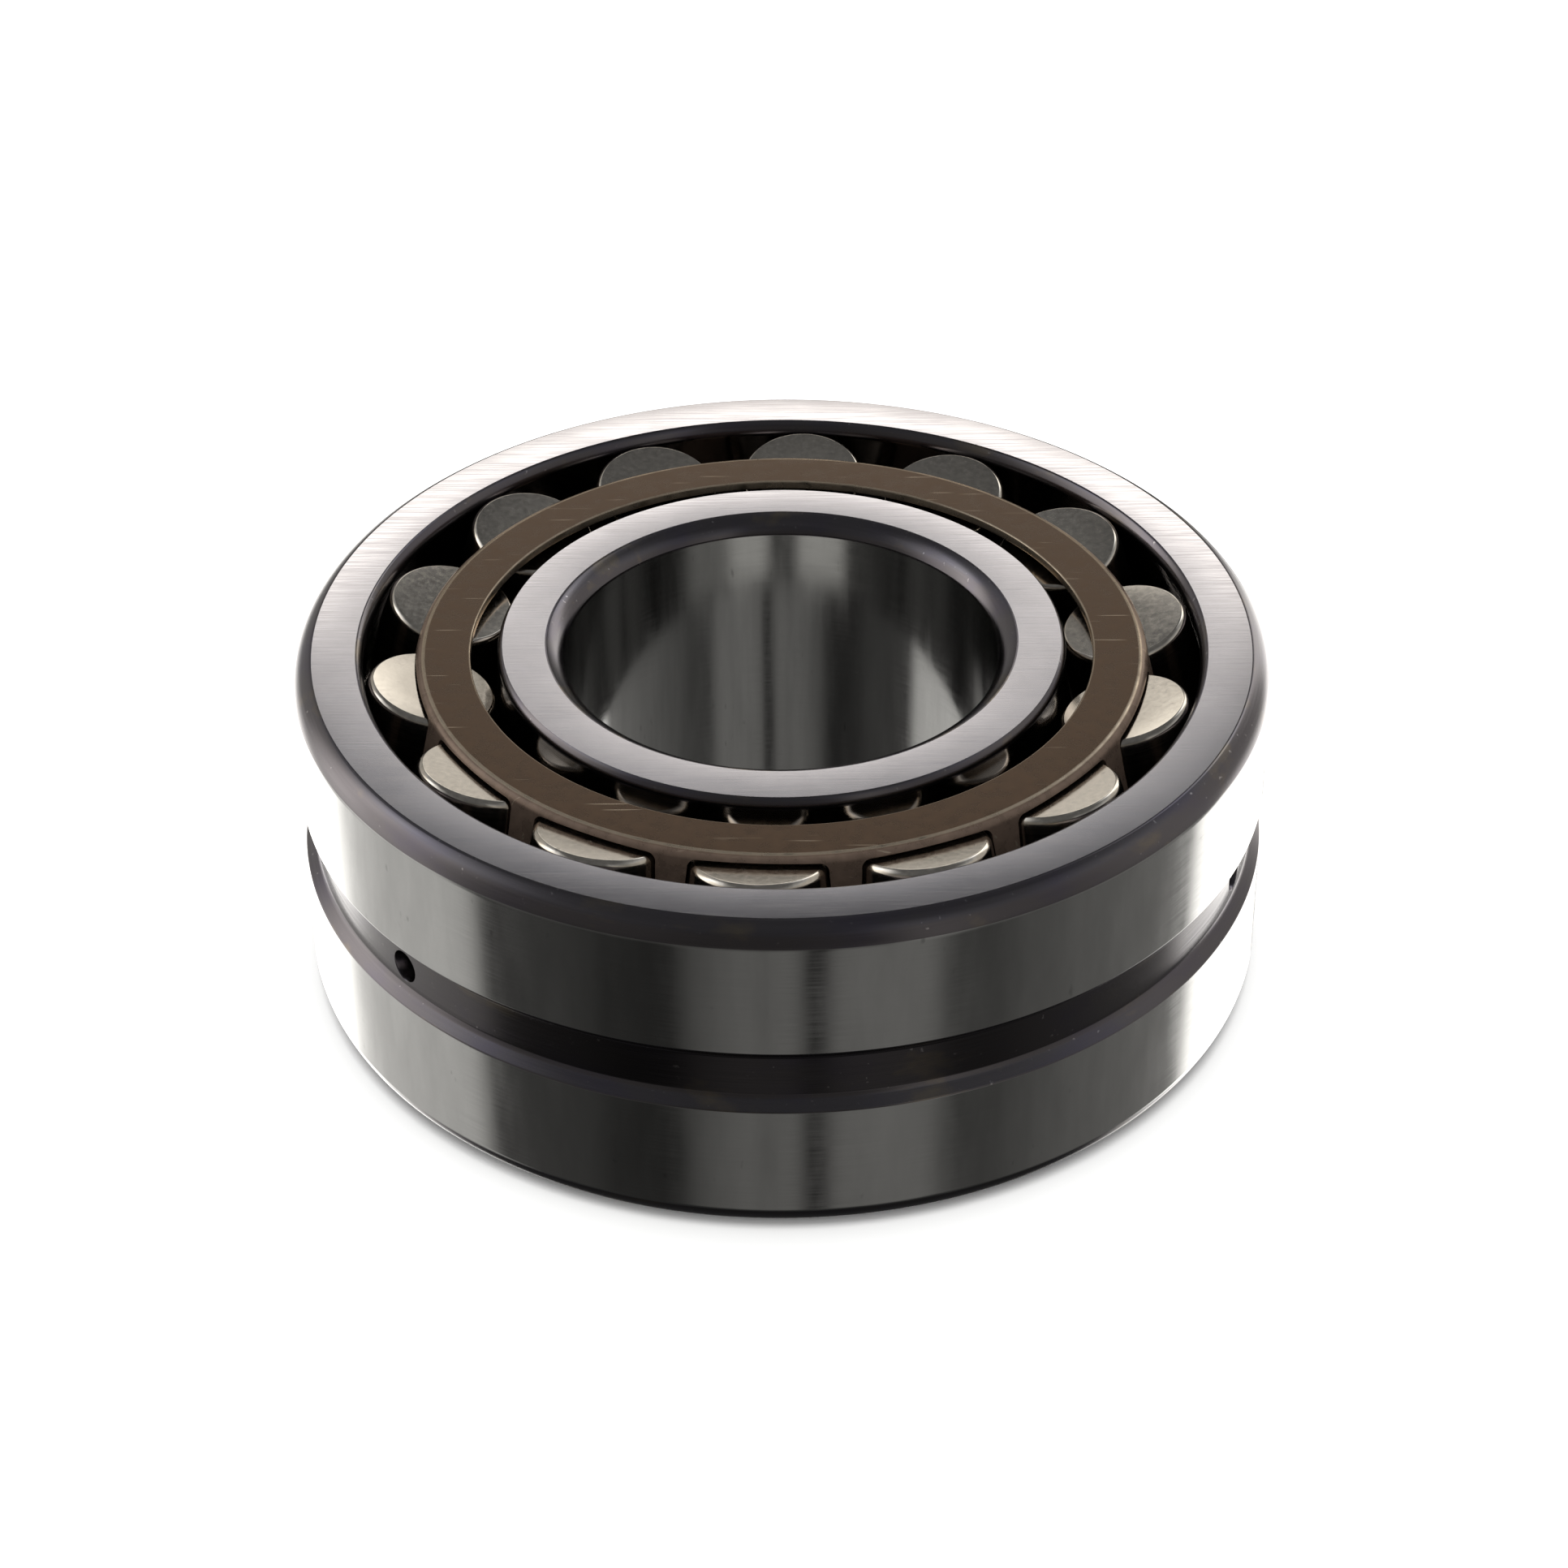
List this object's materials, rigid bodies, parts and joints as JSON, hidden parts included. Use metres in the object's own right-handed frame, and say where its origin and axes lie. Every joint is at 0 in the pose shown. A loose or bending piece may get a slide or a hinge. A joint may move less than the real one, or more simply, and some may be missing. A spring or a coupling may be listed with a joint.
{
  "type": "spherical roller bearing",
  "caption": "Self-aligning roller bearing: barrel rollers in pressed window cages, a grease groove with radial holes round the outer ring, and a straight cylindrical bore.",
  "frame": {"origin": "centre of the bearing, on its axis and midway between its two faces", "axes": "+Z along the bearing's axis towards the face seen from above; X and Y are radial, with the three lubrication holes at 99.8, 219.8 and 339.8 degrees from +X"},
  "size_m": [0.09, 0.09, 0.033],
  "materials": {
    "ring_steel": "ground and polished bearing steel",
    "roller_steel": "ground bearing steel, satin end faces",
    "cage_sheet": "pressed sheet steel with a brown phosphate coat",
    "guide_iron": "satin sintered iron"
  },
  "bodies": {
    "outer_ring": {"outer_ring": "ring_steel"},
    "inner_ring": {"inner_ring": "ring_steel"},
    "guide_ring": {"guide_ring": "guide_iron"},
    "cage_upper": {"cage_upper": "cage_sheet"},
    "cage_lower": {"cage_lower": "cage_sheet"},
    "roller_upper_01": {"roller_upper_01": "roller_steel"},
    "roller_upper_02": {"roller_upper_02": "roller_steel"},
    "roller_upper_03": {"roller_upper_03": "roller_steel"},
    "roller_upper_04": {"roller_upper_04": "roller_steel"},
    "roller_upper_05": {"roller_upper_05": "roller_steel"},
    "roller_upper_06": {"roller_upper_06": "roller_steel"},
    "roller_upper_07": {"roller_upper_07": "roller_steel"},
    "roller_upper_08": {"roller_upper_08": "roller_steel"},
    "roller_upper_09": {"roller_upper_09": "roller_steel"},
    "roller_upper_10": {"roller_upper_10": "roller_steel"},
    "roller_upper_11": {"roller_upper_11": "roller_steel"},
    "roller_upper_12": {"roller_upper_12": "roller_steel"},
    "roller_upper_13": {"roller_upper_13": "roller_steel"},
    "roller_upper_14": {"roller_upper_14": "roller_steel"},
    "roller_lower_01": {"roller_lower_01": "roller_steel"},
    "roller_lower_02": {"roller_lower_02": "roller_steel"},
    "roller_lower_03": {"roller_lower_03": "roller_steel"},
    "roller_lower_04": {"roller_lower_04": "roller_steel"},
    "roller_lower_05": {"roller_lower_05": "roller_steel"},
    "roller_lower_06": {"roller_lower_06": "roller_steel"},
    "roller_lower_07": {"roller_lower_07": "roller_steel"},
    "roller_lower_08": {"roller_lower_08": "roller_steel"},
    "roller_lower_09": {"roller_lower_09": "roller_steel"},
    "roller_lower_10": {"roller_lower_10": "roller_steel"},
    "roller_lower_11": {"roller_lower_11": "roller_steel"},
    "roller_lower_12": {"roller_lower_12": "roller_steel"},
    "roller_lower_13": {"roller_lower_13": "roller_steel"},
    "roller_lower_14": {"roller_lower_14": "roller_steel"}
  },
  "joints": [
    {"name": "self_alignment", "type": "hinge", "parent": "outer_ring", "child": "guide_ring", "pos_m": [0, 0, 0], "axis": [1, 0, 0], "range_deg": [-2, 2]},
    {"name": "inner_ring_spin", "type": "hinge", "parent": "guide_ring", "child": "inner_ring", "pos_m": [0, 0, 0], "axis": [0, 0, 1], "continuous": true},
    {"name": "cage_upper_orbit", "type": "hinge", "parent": "guide_ring", "child": "cage_upper", "pos_m": [0, 0, 0], "axis": [0, 0, 1], "continuous": true},
    {"name": "cage_lower_orbit", "type": "hinge", "parent": "guide_ring", "child": "cage_lower", "pos_m": [0, 0, 0], "axis": [0, 0, 1], "continuous": true},
    {"name": "roller_upper_01_spin", "type": "hinge", "parent": "cage_upper", "child": "roller_upper_01", "pos_m": [0.00218, 0.03371, 0.0085], "axis": [-0.0158, -0.2436, 0.9697], "continuous": true},
    {"name": "roller_upper_02_spin", "type": "hinge", "parent": "cage_upper", "child": "roller_upper_02", "pos_m": [-0.01266, 0.03132, 0.0085], "axis": [0.0915, -0.2264, 0.9697], "continuous": true},
    {"name": "roller_upper_03_spin", "type": "hinge", "parent": "cage_upper", "child": "roller_upper_03", "pos_m": [-0.025, 0.02272, 0.0085], "axis": [0.1807, -0.1642, 0.9697], "continuous": true},
    {"name": "roller_upper_04_spin", "type": "hinge", "parent": "cage_upper", "child": "roller_upper_04", "pos_m": [-0.03238, 0.00963, 0.0085], "axis": [0.234, -0.0696, 0.9697], "continuous": true},
    {"name": "roller_upper_05_spin", "type": "hinge", "parent": "cage_upper", "child": "roller_upper_05", "pos_m": [-0.03335, -0.00538, 0.0085], "axis": [0.241, 0.0389, 0.9697], "continuous": true},
    {"name": "roller_upper_06_spin", "type": "hinge", "parent": "cage_upper", "child": "roller_upper_06", "pos_m": [-0.02771, -0.01931, 0.0085], "axis": [0.2003, 0.1396, 0.9697], "continuous": true},
    {"name": "roller_upper_07_spin", "type": "hinge", "parent": "cage_upper", "child": "roller_upper_07", "pos_m": [-0.01659, -0.02942, 0.0085], "axis": [0.1199, 0.2127, 0.9697], "continuous": true},
    {"name": "roller_upper_08_spin", "type": "hinge", "parent": "cage_upper", "child": "roller_upper_08", "pos_m": [-0.00218, -0.03371, 0.0085], "axis": [0.0158, 0.2436, 0.9697], "continuous": true},
    {"name": "roller_upper_09_spin", "type": "hinge", "parent": "cage_upper", "child": "roller_upper_09", "pos_m": [0.01266, -0.03132, 0.0085], "axis": [-0.0915, 0.2264, 0.9697], "continuous": true},
    {"name": "roller_upper_10_spin", "type": "hinge", "parent": "cage_upper", "child": "roller_upper_10", "pos_m": [0.025, -0.02272, 0.0085], "axis": [-0.1807, 0.1642, 0.9697], "continuous": true},
    {"name": "roller_upper_11_spin", "type": "hinge", "parent": "cage_upper", "child": "roller_upper_11", "pos_m": [0.03238, -0.00963, 0.0085], "axis": [-0.234, 0.0696, 0.9697], "continuous": true},
    {"name": "roller_upper_12_spin", "type": "hinge", "parent": "cage_upper", "child": "roller_upper_12", "pos_m": [0.03335, 0.00538, 0.0085], "axis": [-0.241, -0.0389, 0.9697], "continuous": true},
    {"name": "roller_upper_13_spin", "type": "hinge", "parent": "cage_upper", "child": "roller_upper_13", "pos_m": [0.02771, 0.01931, 0.0085], "axis": [-0.2003, -0.1396, 0.9697], "continuous": true},
    {"name": "roller_upper_14_spin", "type": "hinge", "parent": "cage_upper", "child": "roller_upper_14", "pos_m": [0.01659, 0.02942, 0.0085], "axis": [-0.1199, -0.2127, 0.9697], "continuous": true},
    {"name": "roller_lower_01_spin", "type": "hinge", "parent": "cage_lower", "child": "roller_lower_01", "pos_m": [-0.00538, 0.03335, -0.0085], "axis": [-0.0389, 0.241, 0.9697], "continuous": true},
    {"name": "roller_lower_02_spin", "type": "hinge", "parent": "cage_lower", "child": "roller_lower_02", "pos_m": [0.00963, 0.03238, -0.0085], "axis": [0.0696, 0.234, 0.9697], "continuous": true},
    {"name": "roller_lower_03_spin", "type": "hinge", "parent": "cage_lower", "child": "roller_lower_03", "pos_m": [0.02272, 0.025, -0.0085], "axis": [0.1642, 0.1807, 0.9697], "continuous": true},
    {"name": "roller_lower_04_spin", "type": "hinge", "parent": "cage_lower", "child": "roller_lower_04", "pos_m": [0.03132, 0.01266, -0.0085], "axis": [0.2264, 0.0915, 0.9697], "continuous": true},
    {"name": "roller_lower_05_spin", "type": "hinge", "parent": "cage_lower", "child": "roller_lower_05", "pos_m": [0.03371, -0.00218, -0.0085], "axis": [0.2436, -0.0158, 0.9697], "continuous": true},
    {"name": "roller_lower_06_spin", "type": "hinge", "parent": "cage_lower", "child": "roller_lower_06", "pos_m": [0.02942, -0.01659, -0.0085], "axis": [0.2127, -0.1199, 0.9697], "continuous": true},
    {"name": "roller_lower_07_spin", "type": "hinge", "parent": "cage_lower", "child": "roller_lower_07", "pos_m": [0.01931, -0.02771, -0.0085], "axis": [0.1396, -0.2003, 0.9697], "continuous": true},
    {"name": "roller_lower_08_spin", "type": "hinge", "parent": "cage_lower", "child": "roller_lower_08", "pos_m": [0.00538, -0.03335, -0.0085], "axis": [0.0389, -0.241, 0.9697], "continuous": true},
    {"name": "roller_lower_09_spin", "type": "hinge", "parent": "cage_lower", "child": "roller_lower_09", "pos_m": [-0.00963, -0.03238, -0.0085], "axis": [-0.0696, -0.234, 0.9697], "continuous": true},
    {"name": "roller_lower_10_spin", "type": "hinge", "parent": "cage_lower", "child": "roller_lower_10", "pos_m": [-0.02272, -0.025, -0.0085], "axis": [-0.1642, -0.1807, 0.9697], "continuous": true},
    {"name": "roller_lower_11_spin", "type": "hinge", "parent": "cage_lower", "child": "roller_lower_11", "pos_m": [-0.03132, -0.01266, -0.0085], "axis": [-0.2264, -0.0915, 0.9697], "continuous": true},
    {"name": "roller_lower_12_spin", "type": "hinge", "parent": "cage_lower", "child": "roller_lower_12", "pos_m": [-0.03371, 0.00218, -0.0085], "axis": [-0.2436, 0.0158, 0.9697], "continuous": true},
    {"name": "roller_lower_13_spin", "type": "hinge", "parent": "cage_lower", "child": "roller_lower_13", "pos_m": [-0.02942, 0.01659, -0.0085], "axis": [-0.2127, 0.1199, 0.9697], "continuous": true},
    {"name": "roller_lower_14_spin", "type": "hinge", "parent": "cage_lower", "child": "roller_lower_14", "pos_m": [-0.01931, 0.02771, -0.0085], "axis": [-0.1396, 0.2003, 0.9697], "continuous": true}
  ],
  "couplings": [
    {"joint": "cage_upper_orbit", "follows": "inner_ring_spin", "ratio": 0.40861},
    {"joint": "cage_lower_orbit", "follows": "inner_ring_spin", "ratio": 0.40861},
    {"joint": "roller_upper_01_spin", "follows": "inner_ring_spin", "ratio": -2.5642},
    {"joint": "roller_upper_02_spin", "follows": "inner_ring_spin", "ratio": -2.5642},
    {"joint": "roller_upper_03_spin", "follows": "inner_ring_spin", "ratio": -2.5642},
    {"joint": "roller_upper_04_spin", "follows": "inner_ring_spin", "ratio": -2.5642},
    {"joint": "roller_upper_05_spin", "follows": "inner_ring_spin", "ratio": -2.5642},
    {"joint": "roller_upper_06_spin", "follows": "inner_ring_spin", "ratio": -2.5642},
    {"joint": "roller_upper_07_spin", "follows": "inner_ring_spin", "ratio": -2.5642},
    {"joint": "roller_upper_08_spin", "follows": "inner_ring_spin", "ratio": -2.5642},
    {"joint": "roller_upper_09_spin", "follows": "inner_ring_spin", "ratio": -2.5642},
    {"joint": "roller_upper_10_spin", "follows": "inner_ring_spin", "ratio": -2.5642},
    {"joint": "roller_upper_11_spin", "follows": "inner_ring_spin", "ratio": -2.5642},
    {"joint": "roller_upper_12_spin", "follows": "inner_ring_spin", "ratio": -2.5642},
    {"joint": "roller_upper_13_spin", "follows": "inner_ring_spin", "ratio": -2.5642},
    {"joint": "roller_upper_14_spin", "follows": "inner_ring_spin", "ratio": -2.5642},
    {"joint": "roller_lower_01_spin", "follows": "inner_ring_spin", "ratio": -2.5642},
    {"joint": "roller_lower_02_spin", "follows": "inner_ring_spin", "ratio": -2.5642},
    {"joint": "roller_lower_03_spin", "follows": "inner_ring_spin", "ratio": -2.5642},
    {"joint": "roller_lower_04_spin", "follows": "inner_ring_spin", "ratio": -2.5642},
    {"joint": "roller_lower_05_spin", "follows": "inner_ring_spin", "ratio": -2.5642},
    {"joint": "roller_lower_06_spin", "follows": "inner_ring_spin", "ratio": -2.5642},
    {"joint": "roller_lower_07_spin", "follows": "inner_ring_spin", "ratio": -2.5642},
    {"joint": "roller_lower_08_spin", "follows": "inner_ring_spin", "ratio": -2.5642},
    {"joint": "roller_lower_09_spin", "follows": "inner_ring_spin", "ratio": -2.5642},
    {"joint": "roller_lower_10_spin", "follows": "inner_ring_spin", "ratio": -2.5642},
    {"joint": "roller_lower_11_spin", "follows": "inner_ring_spin", "ratio": -2.5642},
    {"joint": "roller_lower_12_spin", "follows": "inner_ring_spin", "ratio": -2.5642},
    {"joint": "roller_lower_13_spin", "follows": "inner_ring_spin", "ratio": -2.5642},
    {"joint": "roller_lower_14_spin", "follows": "inner_ring_spin", "ratio": -2.5642}
  ]
}
